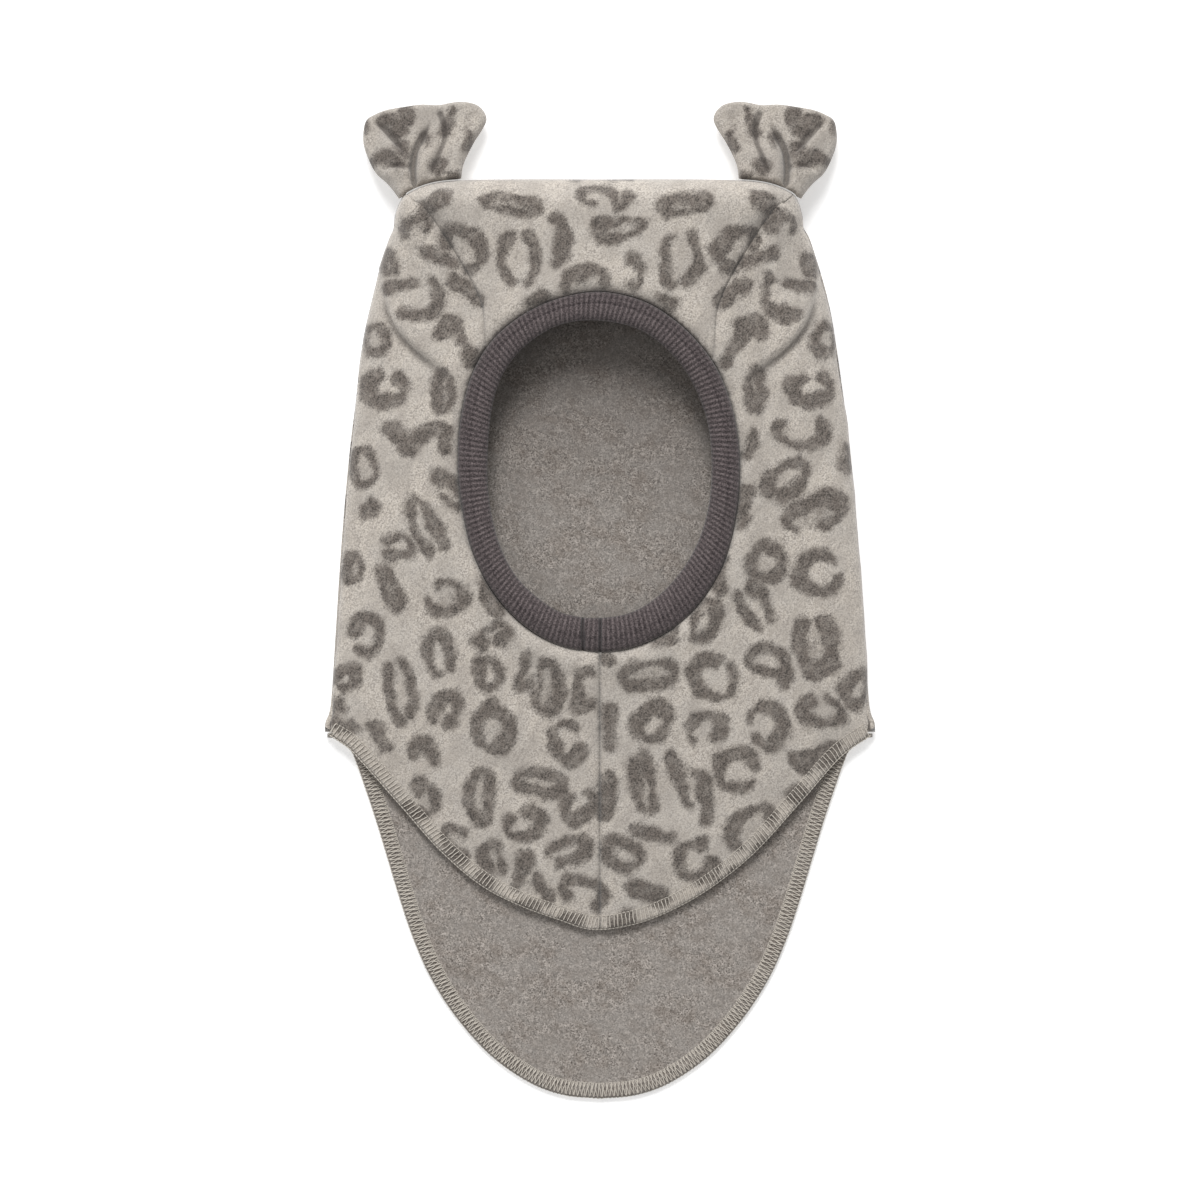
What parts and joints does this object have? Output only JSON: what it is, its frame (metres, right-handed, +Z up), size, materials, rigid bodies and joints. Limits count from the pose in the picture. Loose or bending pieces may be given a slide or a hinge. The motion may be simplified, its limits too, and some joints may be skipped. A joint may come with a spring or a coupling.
{
  "type": "baby balaclava hat with ears",
  "caption": "Baby balaclava hat in leopard jacquard wool, with pleated ears, a ribbed band round the face opening, and bibs over the chest and back.",
  "frame": {"origin": "On the surface that the hat lies on, in the middle of its length and width", "axes": "+X is the wearer's left, +Y runs from the bibs to the crown and ears, +Z is up out of the face opening"},
  "size_m": [0.2292, 0.416, 0.0295],
  "materials": {
    "leopard_jersey": "matte",
    "rib_knit": "matte"
  },
  "bodies": {
    "root": {"back_panel": "leopard_jersey", "front_panel_left": "leopard_jersey", "front_panel_right": "leopard_jersey", "face_band": "rib_knit", "ear_left": "leopard_jersey", "ear_right": "leopard_jersey"}
  },
  "joints": []
}
